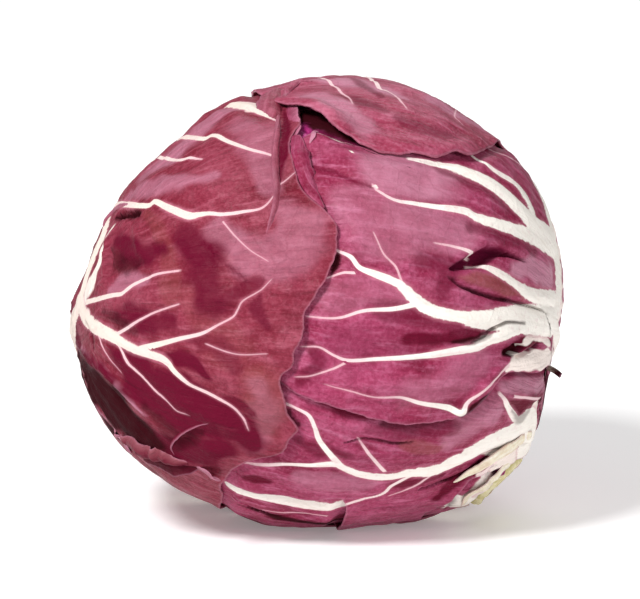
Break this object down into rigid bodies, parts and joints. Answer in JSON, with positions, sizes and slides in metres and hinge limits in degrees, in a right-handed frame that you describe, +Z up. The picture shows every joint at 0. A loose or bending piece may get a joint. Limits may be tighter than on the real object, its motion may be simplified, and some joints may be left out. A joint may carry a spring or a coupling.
{
  "type": "radicchio head",
  "caption": "Round head of red radicchio lying on its side, its white-ribbed wine-red leaves wrapped tightly from a short cut stem.",
  "frame": {"origin": "middle of the small flat spot that the head rests on", "axes": "+Z up; the side seen in the picture faces -Y; the cut stem is low on the +X side"},
  "size_m": [0.12, 0.1147, 0.111],
  "materials": {
    "heart": "moist inner leaves, satin",
    "leaf_inner": "satin leaf",
    "leaf_back": "satin leaf",
    "leaf_under": "satin leaf",
    "leaf_bottom": "satin leaf",
    "leaf_right": "satin leaf",
    "leaf_left": "satin leaf",
    "leaf_top": "satin leaf",
    "stem": "matt cut stem"
  },
  "bodies": {
    "root": {"heart": "heart", "leaf_inner": "leaf_inner", "leaf_back": "leaf_back", "leaf_under": "leaf_under", "leaf_bottom": "leaf_bottom", "leaf_right": "leaf_right", "leaf_left": "leaf_left", "leaf_top": "leaf_top", "stem": "stem"}
  },
  "joints": []
}
